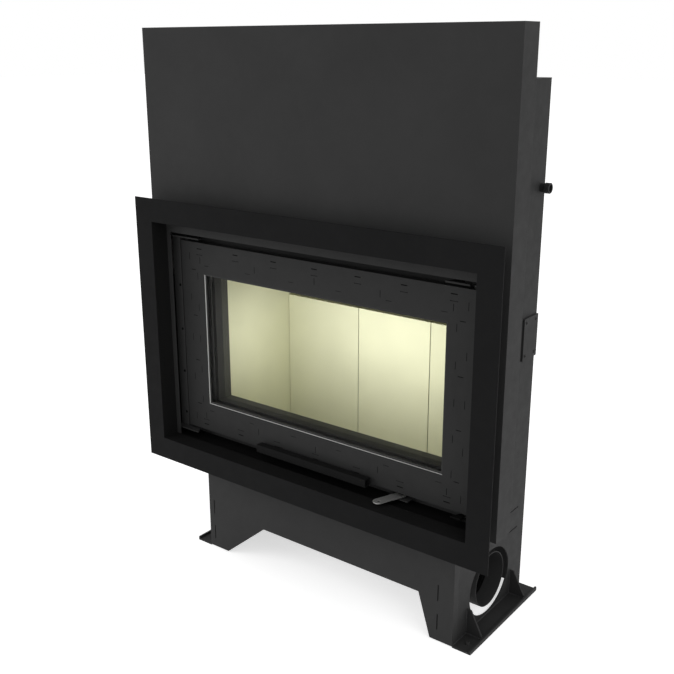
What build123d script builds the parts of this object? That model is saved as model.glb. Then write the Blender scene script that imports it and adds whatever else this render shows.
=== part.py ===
from build123d import *
import os
from math import cos, radians, sin

os.makedirs("parts", exist_ok=True)

# Fireplace insert with a counterweighted glass door that slides up into a flat
# housing. X is across the front, Y runs from the front face to the back, Z is up.
# Sizes are millimetres. Y is counted from the front face of the portal frame, and
# every piece is moved at the end so that the origin is the middle of the footprint.

# ---- Driving dimensions ------------------------------------------------------
overall_depth = 465.0
body_top = 1379.0

# door leaf
door_width = 943.0
door_height = 549.0
door_bottom = 390.0
door_sheet = 3.0
door_return_depth = 20.0
door_face_side = 87.1
door_face_top = 88.4
door_face_bottom = 84.6

# portal frame and its sleeve
portal_sheet = 3.0
portal_face_side = 61.0
portal_face_rail = 63.5
portal_reveal_side = 27.5
portal_reveal_top = 58.5
portal_reveal_bottom = 24.5
portal_depth = 52.6
sleeve_sheet = 2.0

# housing that the door lifts into
housing_sheet = 2.0
housing_depth = 66.0
housing_head_room = 88.0
housing_below_door = 32.5
housing_opening_reveal = 13.0
housing_opening_over_door = 24.7
housing_opening_under_door = 24.5
housing_lip = 12.0
back_plate_sheet = 3.0
lift_margin = 9.4

# fire body
body_sheet = 4.0
base_setback = 95.3
base_clear_of_floor = 3.0
lining_side = 34.4
lining_back = 30.0
lining_front = 25.0
lining_height = 605.0
lining_back_height = 424.8
centre_brick_width = 246.0
centre_brick_offset = 4.5
throat_length = 50.4
throat_sheet = 4.0
firebox_floor_z = 296.0
hearth_slab_height = 30.0
baffle_height = 25.0
baffle_front_gap = 84.0
upper_baffle_z = 1080.0
upper_baffle_rear_gap = 81.0
upper_baffle_lip = 24.0

# base cut-out, measured from the middle plane
cutout_top = 123.0
cutout_left_foot = -351.0
cutout_left_top = -207.0
cutout_right_top = 319.0
cutout_right_foot = 356.0
tab_slot_width = 3.0
tab_slot_length = 45.0
front_slot_places = ((-403.0, 28.0), (-403.0, 112.0), (377.0, 34.0), (377.0, 118.0))
side_slot_length = 56.0
side_slot_from_rear = 37.0
side_slot_heights = (197.0, 256.5)

# feet
foot_reach = 53.0
foot_sheet = 5.0
foot_lip_height = 11.0
foot_bolt_from_body = 27.2
foot_bolt_front = 127.6
foot_bolt_rear = 47.2
foot_bolt_radius = 6.0
gusset_height = 70.0
gusset_top_width = 12.0
gusset_sheet = 5.0
gusset_front = 165.0
gusset_rear = 60.0

# flue and air connections
flue_radius = 100.5
flue_wall = 3.0
flue_height = 80.0
flue_flange_width = 28.0
air_radius = 75.0
air_wall = 2.0
air_ahead_of_middle = 1.7
air_z = 108.0
air_proud = 2.2
air_bend_radius = 85.0
air_bend_seams = 3
air_mouth_length = 57.0
air_elbow_lap = 6.0
air_hole_half_width = 105.0
air_hole_half_height = 91.0
air_hole_behind = 3.4
air_hole_z = 100.3
chamber_sheet = 2.0
chamber_height = 98.0
chamber_margin = 16.0
chamber_left = -200.0
chamber_from_rear = 65.0
nipple_from_rear = 20.0
nipple_z = 1118.8
nipple_neck_radius = 11.0
nipple_neck_length = 11.0
nipple_radius = 13.45
nipple_length = 14.0
nipple_bore = 9.0
cover_length = 76.0
cover_z = (683.0, 795.0)
cover_proud = 5.0

# lift gear
stile_gap = 5.0
stile_sheet = 3.0
stile_flange = 30.0
stile_front_y = 80.0
stile_depth = 30.0
stile_below_door = 10.0
stile_above_door = 34.0
roller_radius = 10.0
roller_width = 10.0
roller_from_stile = 4.5
roller_end_distance = 45.0
roller_axle_radius = 4.0
rail_sheet = 2.0
rail_clearance = 0.3
rail_below_pulley = 5.5
stop_height = 3.7
cross_bar_depth = 16.0
cross_bar_height = 16.0
cross_bar_sheet = 2.0
cross_bar_y = 84.0
rope_radius = 2.0
rope_y = 87.0
rope_from_stile = 13.5
lug_height = 8.0
lug_over_door = 5.0
ferrule_radius = 3.3
ferrule_length = 12.0
pulley_pitch_radius = 20.0
pulley_rim = 3.5
pulley_width = 9.0
pulley_below_top = 27.0
pulley_axle_radius = 5.0
pulley_shoulder_radius = 9.0
weight_width = 32.5
weight_depth = 56.0
weight_height = 590.0
weight_below_pulley = 45.0
weight_side_clearance = 2.25
weight_rail_clearance = 3.75

# hinge and latch plates
plate_sheet = 4.0
plate_front_y = 62.0
plate_rear_y = 98.0
plate_over_door = 11.0
upper_plate_reach = 120.0
lower_plate_reach = 85.0
plate_slant = 20.0
pin_radius = 5.0
pin_from_edge = 16.5
pin_y = 88.0
pin_collar_radius = 8.0
pin_proud = 2.0
latch_width = 12.0
latch_pivot_from_edge = 3.0
latch_length = 33.0
latch_pivot_radius = 4.0
latch_knob_radius = 5.0
latch_knob_height = 4.0
latch_slot_clearance = 1.0
latch_pin_clearance = 0.5

# glazing
glass_sheet = 4.0
glass_lap = 19.6
glass_gasket_sheet = 3.0
glass_gasket_lap_side = 2.2
glass_gasket_lap_bottom = 4.2
glass_gasket_lap_top = 1.5
window_cut_side = 2.0
window_cut_bottom = 1.2
window_cut_top = 3.8
trim_sheet = 1.2
trim_end_gap = 2.0
clip_length = 24.0
clip_sheet = 2.0
clip_width = 20.0
clip_block = 6.0
rear_frame_inset = 30.5
rear_frame_inset_z = 28.0
rear_frame_depth = 28.9
rear_frame_margin = 5.6
gasket_width = 16.0
gasket_clearance = 0.3
gasket_margin = 6.0

# handle
handle_length = 364.0
handle_height = 22.0
handle_depth = 24.0
handle_wall = 3.0
handle_standoff = 6.0
handle_standoff_radius = 8.0
handle_standoff_spacing = 240.0
handle_below_door = 0.5

# air control
lever_x = 258.3
lever_y = 100.0
lever_angle = -21.5
lever_width = 32.0
lever_length = 67.6
lever_sheet = 3.0
lever_hole_radius = 4.0
lever_pivot_radius = 4.0
lever_head_radius = 7.0
lever_washer = 2.0
lever_arm = 30.0
lever_arm_width = 16.0
lever_pin_radius = 3.0
lever_under_door = 14.0
lever_shelf_width = 60.0
lever_shelf_front = 82.0
lever_shelf_sheet = 3.0
air_slot_length = 20.0
air_slot_width = 12.0
air_slot_pitch = 44.0
air_slot_count = 4
air_slot_first = 70.0
air_plate_sheet = 3.0
air_plate_z = 363.0
shutter_sheet = 3.0
air_port_radius = 6.0
air_port_under_throat = 34.0
air_port_count = 5
air_port_pitch = 140.0

running = 0.05
gap = 0.3

# ---- Places that follow ------------------------------------------------------
door_half = door_width / 2
door_top = door_bottom + door_height
door_front_y = 78.1
window_half = door_half - door_face_side
window_bottom = door_bottom + door_face_bottom
window_top = door_top - door_face_top
window_cut_half = window_half + window_cut_side
window_cut_z = (window_bottom - window_cut_bottom, window_top + window_cut_top)
lift_travel = window_top - door_bottom + lift_margin

portal_open_half = door_half + portal_reveal_side
portal_open_bottom = door_bottom - portal_reveal_bottom
portal_open_top = door_top + portal_reveal_top

stile_x = door_half + stile_gap
rope_x = stile_x + rope_from_stile
pulley_x = rope_x + pulley_pitch_radius
weight_x = pulley_x + pulley_pitch_radius
rail_outer_x = weight_x - weight_width / 2 - weight_rail_clearance - rail_sheet

housing_half = weight_x + weight_width / 2 + weight_side_clearance + housing_sheet
housing_bottom = door_bottom - housing_below_door
housing_top = door_top + lift_travel + housing_head_room
housing_open_half = door_half + housing_opening_reveal
housing_front_y = portal_depth
housing_inner_y = housing_front_y + housing_sheet
housing_rear_y = housing_front_y + housing_depth
back_plate_y = housing_rear_y - back_plate_sheet

body_half = window_half + lining_side + body_sheet
body_inner = body_half - body_sheet
body_rear_inner = overall_depth - body_sheet
floor_top = firebox_floor_z + body_sheet
throat_rear = back_plate_y + throat_length
lining_top = floor_top + lining_height
back_lining_y = body_rear_inner - lining_back
flue_y = (housing_rear_y + overall_depth) / 2
air_y = (base_setback + overall_depth) / 2 - air_ahead_of_middle
air_duct_end_z = firebox_floor_z - chamber_height
air_duct_x = body_half + air_proud - air_mouth_length - air_bend_radius
air_elbow_radius = air_radius - air_wall
nipple_y = overall_depth - nipple_from_rear
gusset_places = (gusset_front, overall_depth - gusset_rear - gusset_sheet)
front_lining_y = throat_rear - lining_front

stile_rear = stile_front_y + stile_depth
stile_bottom = door_bottom - stile_below_door
stile_top = door_top + stile_above_door
roller_x = stile_x + stile_sheet + roller_from_stile
rail_inner_x = stile_x + stile_sheet + roller_from_stile - 2.0
rail_rear_y = back_plate_y - rail_sheet
roller_y = rail_rear_y - rail_clearance - roller_radius
rail_front_y = roller_y - roller_radius - rail_clearance - rail_sheet
roller_heights = (stile_bottom + roller_end_distance, stile_top - roller_end_distance - 3.0)
pulley_z = housing_top - pulley_below_top
pulley_radius = pulley_pitch_radius + pulley_rim
rail_top = pulley_z - pulley_radius - rail_below_pulley
weight_top = pulley_z - weight_below_pulley

upper_plate_z = door_top + plate_over_door
lower_plate_z = stile_bottom
pin_x = door_half - pin_from_edge
latch_x = door_half - latch_pivot_from_edge
latch_y = pin_y - pin_radius - latch_pin_clearance - latch_width / 2

glass_front_y = door_front_y + door_sheet + glass_gasket_sheet
glass_rear_y = glass_front_y + glass_sheet
rear_frame_y = door_front_y + door_sheet + rear_frame_depth
lever_z = door_bottom - lever_under_door - lever_sheet
shelf_z = lever_z - lever_washer - lever_shelf_sheet
air_slot_y = (housing_rear_y + front_lining_y) / 2
shutter_z = air_plate_z + air_plate_sheet + gap


# ---- Helpers -----------------------------------------------------------------
def block(x, y, z):
    """A box between pairs of limits along each axis."""
    size = Box(x[1] - x[0], y[1] - y[0], z[1] - z[0])
    return Pos((x[0] + x[1]) / 2, (y[0] + y[1]) / 2, (z[0] + z[1]) / 2) * size


def window_ring(half_out, z_out, half_in, z_in, y):
    """A rectangular ring that faces the front, between two Y values."""
    outer = block((-half_out, half_out), y, z_out)
    inner = block((-half_in, half_in), (y[0] - 1, y[1] + 1), z_in)
    return outer - inner


def rod_x(x, y, z, radius):
    return Pos((x[0] + x[1]) / 2, y, z) * Rot(0, 90, 0) * Cylinder(radius, x[1] - x[0])


def rod_y(x, y, z, radius):
    return Pos(x, (y[0] + y[1]) / 2, z) * Rot(90, 0, 0) * Cylinder(radius, y[1] - y[0])


def rod_z(x, y, z, radius):
    return Pos(x, y, (z[0] + z[1]) / 2) * Cylinder(radius, z[1] - z[0])


def sheet_xz(points, y):
    """A flat outline in X and Z, thickened between two Y values."""
    face = Plane.XZ.offset(-y[0]) * make_face(Polyline(*points, close=True))
    return extrude(face, -(y[1] - y[0]))


def sheet_xy(points, z):
    face = Plane.XY.offset(z[0]) * make_face(Polyline(*points, close=True))
    return extrude(face, z[1] - z[0])


def mirrored(shape):
    return mirror(shape, Plane.YZ)


def group(*solids):
    return Compound(children=list(solids))


def save(name, shape):
    """Move a piece so that the origin is the middle of the footprint, and write it."""
    export_step(Pos(0, -overall_depth / 2, 0) * shape, f"parts/{name}.step")


# ---- Feet --------------------------------------------------------------------
def foot_plate():
    """Right foot: a plate with its outer edge turned up, and two bolt holes."""
    outer = body_half + foot_reach
    outline = [
        (body_half, 0),
        (outer, 0),
        (outer, foot_lip_height),
        (outer - foot_sheet, foot_lip_height),
        (outer - foot_sheet, foot_sheet),
        (body_half, foot_sheet),
    ]
    plate = sheet_xz(outline, (base_setback, overall_depth))
    for y in (foot_bolt_front, overall_depth - foot_bolt_rear):
        plate -= rod_z(body_half + foot_bolt_from_body, y, (-1, foot_sheet + 1), foot_bolt_radius)
    return plate


def gusset(y):
    """Triangular web that stiffens the right foot against the side of the body."""
    base = foot_reach - foot_sheet
    outline = [
        (body_half, foot_sheet),
        (body_half + base, foot_sheet),
        (body_half + gusset_top_width, foot_sheet + gusset_height),
        (body_half, foot_sheet + gusset_height),
    ]
    return sheet_xz(outline, (y, y + gusset_sheet))


# ---- Body panels -------------------------------------------------------------
def leg_panel(half, y, top):
    """Upright panel whose lower edge is cut away between two legs."""
    outline = [
        (-half, base_clear_of_floor),
        (cutout_left_foot, base_clear_of_floor),
        (cutout_left_top, cutout_top),
        (cutout_right_top, cutout_top),
        (cutout_right_foot, base_clear_of_floor),
        (half, base_clear_of_floor),
        (half, top),
        (-half, top),
    ]
    return sheet_xz(outline, y)


def base_front_panel():
    """Front of the base, with both sides folded back to the side walls."""
    y = (base_setback, base_setback + body_sheet)
    panel = leg_panel(body_half, y, housing_bottom)
    for x, z in front_slot_places:
        slot = (x - tab_slot_width / 2, x + tab_slot_width / 2)
        panel -= block(slot, (y[0] - 1, y[1] + 1), (z, z + tab_slot_length))
    side_z = (base_clear_of_floor, housing_bottom)
    side = block((body_inner, body_half), (y[1], housing_rear_y), side_z)
    return panel + side + mirrored(side)


def side_panel():
    """Side wall of the right side, from behind the housing to the back."""
    z = (base_clear_of_floor, body_top)
    return block((body_inner, body_half), (housing_rear_y, overall_depth), z)


def right_side_panel():
    """The right wall carries the air duct's oval hole, a water nipple and tab slots."""
    through = (body_inner - 1, body_half + 1)
    panel = side_panel()
    middle = Plane.YZ.offset(through[0]) * Pos(air_y + air_hole_behind, air_hole_z)
    oval = middle * Ellipse(air_hole_half_width, air_hole_half_height)
    panel -= extrude(oval, through[1] - through[0])
    panel -= rod_x(through, nipple_y, nipple_z, nipple_neck_radius)
    for z in side_slot_heights:
        end = overall_depth - side_slot_from_rear
        length = (end - side_slot_length, end)
        panel -= block(through, length, (z, z + tab_slot_width))
    return panel


def back_panel():
    return leg_panel(body_inner, (body_rear_inner, overall_depth), body_top)


def top_panel():
    z = (body_top - body_sheet, body_top)
    panel = block((-body_inner, body_inner), (housing_rear_y, body_rear_inner), z)
    return panel - rod_z(0, flue_y, (z[0] - 1, z[1] + 1), flue_radius)


def flue_collar():
    """Flanged collar on the roof: its half section turned about the flue's axis."""
    section = Polyline(
        (flue_radius, 0),
        (flue_radius + flue_flange_width, 0),
        (flue_radius + flue_flange_width, body_sheet),
        (flue_radius + flue_wall, body_sheet),
        (flue_radius + flue_wall, flue_height),
        (flue_radius, flue_height),
        close=True,
    )
    return Pos(0, flue_y, body_top) * revolve(Plane.XZ * make_face(section), Axis.Z)


def side_nipple():
    """Short pipe end in the right wall: a neck and a thicker threaded mouth."""
    neck_end = body_half + nipple_neck_length
    mouth_end = neck_end + nipple_length
    body = rod_x((body_inner, neck_end), nipple_y, nipple_z, nipple_neck_radius)
    body += rod_x((neck_end, mouth_end), nipple_y, nipple_z, nipple_radius)
    return body - rod_x((body_inner - 1, mouth_end + 1), nipple_y, nipple_z, nipple_bore)


def side_cover_plate():
    """Shallow cover on the right wall, with all four edges turned in to the wall."""
    x = (body_half, body_half + cover_proud)
    y = (overall_depth - cover_length, overall_depth)
    plate = block(x, y, cover_z)
    hollow_y = (y[0] + housing_sheet, y[1] - housing_sheet)
    hollow_z = (cover_z[0] + housing_sheet, cover_z[1] - housing_sheet)
    return plate - block((x[0] - 1, x[1] - housing_sheet), hollow_y, hollow_z)


# ---- Firebox -----------------------------------------------------------------
def air_slots(z):
    """Cutters for the row of air slots in front of the firebox."""
    cutters = []
    for step in range(air_slot_count):
        x = air_slot_first + step * air_slot_pitch
        half = air_slot_width / 2
        cutters.append(block((x, x + air_slot_length), (air_slot_y - half, air_slot_y + half), z))
    return cutters


def firebox_floor():
    z = (firebox_floor_z, floor_top)
    plate = block((-body_inner, body_inner), (housing_rear_y, body_rear_inner), z)
    for cutter in air_slots((z[0] - 1, z[1] + 1)):
        plate -= cutter
    return plate


def throat_frame():
    """Steel throat between the door's sealing plane and the lined firebox."""
    z_out = (window_bottom - throat_sheet, window_top + throat_sheet)
    z_in = (window_bottom, window_top)
    half_out = window_half + throat_sheet
    return window_ring(half_out, z_out, window_half, z_in, (back_plate_y, throat_rear))


def lining_side_brick():
    return block((window_half, body_inner), (throat_rear, body_rear_inner), (floor_top, lining_top))


def lining_back_brick(x):
    z = (floor_top, floor_top + lining_back_height)
    return block(x, (back_lining_y, body_rear_inner), z)


def lining_front_brick():
    """Brick under the throat, bored for the jets of air that the shutter lets in."""
    z = (floor_top, window_bottom - throat_sheet)
    brick = block((-window_half, window_half), (front_lining_y, throat_rear), z)
    for step in range(air_port_count):
        x = (step - (air_port_count - 1) / 2) * air_port_pitch
        bore = (front_lining_y - 1, throat_rear + 1)
        brick -= rod_y(x, bore, z[1] - air_port_under_throat, air_port_radius)
    return brick


def hearth_slab():
    z = (floor_top, floor_top + hearth_slab_height)
    return block((-window_half, window_half), (throat_rear, back_lining_y), z)


def lower_baffle():
    """Refractory plate that rests on the side linings and leaves a way up in front."""
    y = (throat_rear + baffle_front_gap, body_rear_inner)
    return block((-body_inner, body_inner), y, (lining_top, lining_top + baffle_height))


def upper_baffle():
    """Steel plate welded between the side walls by its turned-down edges."""
    y = (housing_rear_y, body_rear_inner - upper_baffle_rear_gap)
    z = (upper_baffle_z, upper_baffle_z + body_sheet)
    plate = block((-body_inner, body_inner), y, z)
    lip = block((body_inner - body_sheet, body_inner), y, (z[0] - upper_baffle_lip, z[0]))
    return plate + lip + mirrored(lip)


# ---- Combustion air ----------------------------------------------------------
def air_inlet_duct():
    """Round mouth in the side wall, and a seamed elbow fitted in it, up to the chamber."""
    centre = Vector(air_duct_x + air_bend_radius, air_y, air_z + air_bend_radius)
    reach = air_bend_radius / cos(radians(45 / air_bend_seams))
    points = [Vector(centre.X + air_elbow_lap, air_y, air_z)]
    for step in range(air_bend_seams):
        angle = radians(90 * (step + 0.5) / air_bend_seams)
        points.append(centre - Vector(reach * sin(angle), 0, reach * cos(angle)))
    points.append(Vector(air_duct_x, air_y, air_duct_end_z))
    path = Polyline(*points)
    ring = Circle(air_elbow_radius) - Circle(air_elbow_radius - air_wall)
    start = Plane(origin=path @ 0, z_dir=path % 0)
    elbow = sweep(start * ring, path=path, transition=Transition.RIGHT)
    mouth = rod_x((centre.X, body_half + air_proud), air_y, air_z, air_radius)
    mouth -= rod_x((centre.X - 1, body_half + air_proud + 1), air_y, air_z, air_elbow_radius)
    return mouth + elbow


def air_chamber():
    """Open-topped tray welded under the firebox floor, which spreads the air."""
    x = (chamber_left, air_duct_x + air_radius + chamber_margin)
    y = (housing_rear_y, overall_depth - chamber_from_rear)
    z = (air_duct_end_z, firebox_floor_z)
    tray = block(x, y, z)
    inner_x = (x[0] + chamber_sheet, x[1] - chamber_sheet)
    inner_y = (y[0] + chamber_sheet, y[1] - chamber_sheet)
    tray -= block(inner_x, inner_y, (z[0] + chamber_sheet, z[1] + 1))
    bore = air_elbow_radius - air_wall
    return tray - rod_z(air_duct_x, air_y, (z[0] - 1, z[0] + chamber_sheet + 1), bore)


def air_slot_plate():
    z = (air_plate_z, air_plate_z + air_plate_sheet)
    plate = block((-window_half, window_half), (housing_rear_y, front_lining_y), z)
    for cutter in air_slots((z[0] - 1, z[1] + 1)):
        plate -= cutter
    return plate


def lever_place(shape):
    """From the lever's own frame, pointing at the front, to where it rests."""
    return Pos(lever_x, lever_y, 0) * Rot(0, 0, lever_angle) * shape


def air_lever():
    """Flat round-ended lever with a drive pin on the short arm behind its pivot."""
    z = (lever_z, lever_z + lever_sheet)
    half = lever_width / 2
    half_arm = lever_arm_width / 2
    lever = block((-half, half), (-lever_length, 0), z)
    lever += rod_z(0, -lever_length, z, half)
    lever += rod_z(0, 0, z, half)
    lever += block((-half_arm, half_arm), (0, lever_arm), z)
    lever += rod_z(0, lever_arm, z, half_arm)
    lever += rod_z(0, lever_arm, (air_plate_z + air_plate_sheet + 0.5, z[0]), lever_pin_radius)
    through = (z[0] - 1, z[1] + 1)
    lever -= rod_z(0, -lever_length, through, lever_hole_radius)
    lever -= rod_z(0, 0, through, lever_pivot_radius + running)
    return lever_place(lever)


lever_pin_x = lever_x - lever_arm * sin(radians(lever_angle))
lever_pin_y = lever_y + lever_arm * cos(radians(lever_angle))


def air_shutter():
    """Sliding plate over the air slots, moved by the pin on the lever's arm."""
    y = (housing_rear_y + gap, front_lining_y - gap)
    z = (shutter_z, shutter_z + shutter_sheet)
    plate = block((air_slot_first - 2 * air_slot_length, lever_pin_x + lever_arm_width), y, z)
    for cutter in air_slots((z[0] - 1, z[1] + 1)):
        plate -= cutter
    half = lever_pin_radius + gap
    rise = lever_arm * (1 - cos(radians(lever_angle)))
    slot_y = (lever_pin_y - half, lever_pin_y + half + rise)
    return plate - block((lever_pin_x - half, lever_pin_x + half), slot_y, (z[0] - 1, z[1] + 1))


# ---- Portal ------------------------------------------------------------------
def portal_flange():
    half = portal_open_half + portal_face_side
    z_out = (portal_open_bottom - portal_face_rail, portal_open_top + portal_face_rail)
    z_in = (portal_open_bottom, portal_open_top)
    return window_ring(half, z_out, portal_open_half, z_in, (0, portal_sheet))


def portal_sleeve():
    z_out = (portal_open_bottom - sleeve_sheet, portal_open_top + sleeve_sheet)
    z_in = (portal_open_bottom, portal_open_top)
    half_out = portal_open_half + sleeve_sheet
    return window_ring(half_out, z_out, portal_open_half, z_in, (portal_sheet, housing_front_y))


# ---- Housing -----------------------------------------------------------------
def housing_shell():
    """One folded sheet: the front with the door's opening, two sides, the bottom."""
    z = (housing_bottom, housing_top - housing_sheet)
    opening_z = (door_bottom - housing_opening_under_door, door_top + housing_opening_over_door)
    front = (housing_front_y, housing_inner_y)
    shell = window_ring(housing_half, z, housing_open_half, opening_z, front)
    side = block((housing_half - housing_sheet, housing_half), (housing_inner_y, housing_rear_y), z)
    inner = housing_half - housing_sheet
    bottom_z = (housing_bottom, housing_bottom + housing_sheet)
    bottom = block((-inner, inner), (housing_inner_y, back_plate_y), bottom_z)
    return shell + side + mirrored(side) + bottom


def housing_lid():
    """Lid with its edges turned down inside the shell."""
    z = (housing_top - housing_sheet, housing_top)
    lid = block((-housing_half, housing_half), (housing_front_y, housing_rear_y), z)
    inner = housing_half - housing_sheet
    lip_z = (z[0] - housing_lip, z[0])
    front_lip = (housing_inner_y, housing_inner_y + housing_sheet)
    lid += block((-inner, inner), front_lip, lip_z)
    side_lip = block((inner - housing_sheet, inner), (front_lip[1], back_plate_y), lip_z)
    return lid + side_lip + mirrored(side_lip)


def housing_back_plate():
    """Back of the housing: it carries the throat, the rails and the lever's pivot."""
    y = (back_plate_y, housing_rear_y)
    inner = housing_half - housing_sheet
    plate = window_ring(
        inner,
        (housing_bottom, housing_top - housing_sheet),
        window_half + throat_sheet,
        (window_bottom - throat_sheet, window_top + throat_sheet),
        y,
    )
    half = lever_arm_width + 2.5
    slot_z = (lever_z - 1.5, lever_z + lever_sheet + 1.5)
    plate -= block((lever_x - half, lever_x + half), (y[0] - 1, y[1] + 1), slot_z)
    shelf_half = lever_shelf_width / 2
    shelf_x = (lever_x - shelf_half, lever_x + shelf_half)
    plate += block(shelf_x, (lever_shelf_front, y[0]), (shelf_z, shelf_z + lever_shelf_sheet))
    lever_top = lever_z + lever_sheet
    plate += rod_z(lever_x, lever_y, (shelf_z, lever_z - gap), lever_head_radius)
    plate += rod_z(lever_x, lever_y, (shelf_z, lever_top + gap), lever_pivot_radius)
    head = (lever_top + gap, lever_top + gap + lever_sheet)
    return plate + rod_z(lever_x, lever_y, head, lever_head_radius)


def door_gasket():
    """Flat sealing tape on the housing's back plate, round the throat."""
    half_in = window_half + throat_sheet + gasket_margin
    z_in = (window_bottom - throat_sheet - gasket_margin, window_top + throat_sheet + gasket_margin)
    z_out = (z_in[0] - gasket_width, z_in[1] + gasket_width)
    y = (rear_frame_y + gasket_clearance, back_plate_y)
    return window_ring(half_in + gasket_width, z_out, half_in, z_in, y)


# ---- Lift gear ---------------------------------------------------------------
def guide_rail():
    """Right rail: a channel open towards the door, with a stop at its foot."""
    z = (stile_bottom - gap - stop_height, rail_top)
    web = block((rail_outer_x, rail_outer_x + rail_sheet), (rail_front_y, back_plate_y), z)
    front = block((rail_inner_x, rail_outer_x), (rail_front_y, rail_front_y + rail_sheet), z)
    rear = block((rail_inner_x, rail_outer_x), (rail_rear_y, back_plate_y), z)
    stop_x = (stile_x + 1.0, rail_outer_x)
    stop = block(stop_x, (rail_front_y + rail_sheet, rail_rear_y), (z[0], z[0] + stop_height))
    return web + front + rear + stop


def pulley_axle():
    """Right pulley's stud on the back plate: shoulder, journal and head."""
    rear = rope_y + pulley_width / 2 + gap
    front = rope_y - pulley_width / 2 - gap
    stud = rod_y(pulley_x, (rear, back_plate_y), pulley_z, pulley_shoulder_radius)
    stud += rod_y(pulley_x, (front, rear), pulley_z, pulley_axle_radius)
    return stud + rod_y(pulley_x, (front - body_sheet, front), pulley_z, pulley_shoulder_radius)


def pulley():
    """Grooved wheel, its half section turned about the stud's axis."""
    half = pulley_width / 2
    bottom = pulley_pitch_radius - rope_radius
    bore = pulley_axle_radius + running
    section = Polyline(
        (bore, -half),
        (pulley_radius, -half),
        (pulley_radius, -half + 1.0),
        (bottom, -rope_radius),
        (bottom, rope_radius),
        (pulley_radius, half - 1.0),
        (pulley_radius, half),
        (bore, half),
        close=True,
    )
    wheel = revolve(Plane.XZ * make_face(section), Axis.Z)
    return Pos(pulley_x, rope_y, pulley_z) * Rot(90, 0, 0) * wheel


def wire_rope():
    """Right rope: up from the door carriage, over the pulley, down to the weight."""
    start = Vector(rope_x, rope_y, door_top + lug_over_door + lug_height + ferrule_length)
    over = Vector(pulley_x, rope_y, pulley_z + pulley_pitch_radius)
    rise = Line(start, (rope_x, rope_y, pulley_z))
    turn = ThreePointArc(rise @ 1, over, (weight_x, rope_y, pulley_z))
    fall = Line(turn @ 1, (weight_x, rope_y, weight_top + ferrule_length))
    path = Wire([rise, turn, fall])
    return sweep(Plane(origin=start, z_dir=(0, 0, 1)) * Circle(rope_radius), path=path)


def counterweight():
    """Right weight: a steel bar with the rope's socket on its top."""
    x = (weight_x - weight_width / 2, weight_x + weight_width / 2)
    y = (rope_y - weight_depth / 2, rope_y + weight_depth / 2)
    bar = block(x, y, (weight_top - weight_height, weight_top))
    bar = chamfer(bar.edges().filter_by(Axis.Z), 3.0)
    return bar + rod_z(weight_x, rope_y, (weight_top, weight_top + ferrule_length), 6.0)


def carriage_stile():
    """Right upright of the door carriage: an angle with roller studs and rope lug."""
    z = (stile_bottom, stile_top)
    web_outer = stile_x + stile_sheet
    stile = block((stile_x, web_outer), (stile_front_y + stile_sheet, stile_rear), z)
    front = (stile_front_y, stile_front_y + stile_sheet)
    stile += block((stile_x, stile_x + stile_flange), front, z)
    for height in roller_heights:
        shoulder = (web_outer, roller_x - gap)
        stile += rod_x(shoulder, roller_y, height, 7.0)
        journal = (web_outer, roller_x + roller_width + gap)
        stile += rod_x(journal, roller_y, height, roller_axle_radius)
        cap = (journal[1], journal[1] + 2.0)
        stile += rod_x(cap, roller_y, height, 6.0)
    lug_z = (door_top + lug_over_door, door_top + lug_over_door + lug_height)
    lug_y = (front[1], rail_front_y - 0.5)
    stile += block((web_outer, rope_x + 10.0), lug_y, lug_z)
    ferrule = (lug_z[1], lug_z[1] + ferrule_length)
    return stile + rod_z(rope_x, rope_y, ferrule, ferrule_radius)


def guide_roller(height):
    """Right roller that runs in the rail."""
    x = (roller_x, roller_x + roller_width)
    wheel = rod_x(x, roller_y, height, roller_radius)
    return wheel - rod_x((x[0] - 1, x[1] + 1), roller_y, height, roller_axle_radius + running)


def carriage_cross_bar():
    """Square tube that ties the two stiles above the door."""
    z = (stile_top - cross_bar_height, stile_top)
    y = (cross_bar_y, cross_bar_y + cross_bar_depth)
    tube = block((-stile_x, stile_x), y, z)
    wall = cross_bar_sheet
    hollow = block((-stile_x - 1, stile_x + 1), (y[0] + wall, y[1] - wall), (z[0] + wall, z[1] - wall))
    return tube - hollow


def carriage_plate(reach, z):
    """Right-hand plate between stile and door: its inner end is cut on a slant."""
    outer = stile_x + stile_flange
    outline = [
        (outer, plate_front_y),
        (outer - reach, plate_front_y),
        (outer - reach + plate_slant, plate_rear_y),
        (stile_x, plate_rear_y),
        (stile_x, stile_front_y),
        (outer, stile_front_y),
    ]
    return sheet_xy(outline, (z, z + plate_sheet))


plate_places = ((upper_plate_reach, upper_plate_z, 1), (lower_plate_reach, lower_plate_z, -1))


def plate_pair():
    """Left plates take the hinge pins, right ones are slotted for the latch pins."""
    solids = []
    for reach, z, side in plate_places:
        through = (z - 1, z + plate_sheet + 1)
        plate = carriage_plate(reach, z)
        hinge = mirrored(plate) - rod_z(-pin_x, pin_y, through, pin_radius + running)
        solids.append(hinge)
        slot = pin_radius + latch_slot_clearance
        plate -= rod_z(pin_x, pin_y, through, slot)
        plate -= block((pin_x - slot, pin_x + slot), (plate_front_y - 1, pin_y), through)
        face = z + plate_sheet if side > 0 else z
        far = face + side * (plate_sheet + 2 * gap)
        plate += rod_z(latch_x, latch_y, sorted((face, far)), latch_pivot_radius)
        head = sorted((far, far + side * 2.0))
        plate += rod_z(latch_x, latch_y, head, latch_width / 2)
        solids.append(plate)
    return group(*solids)


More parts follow.
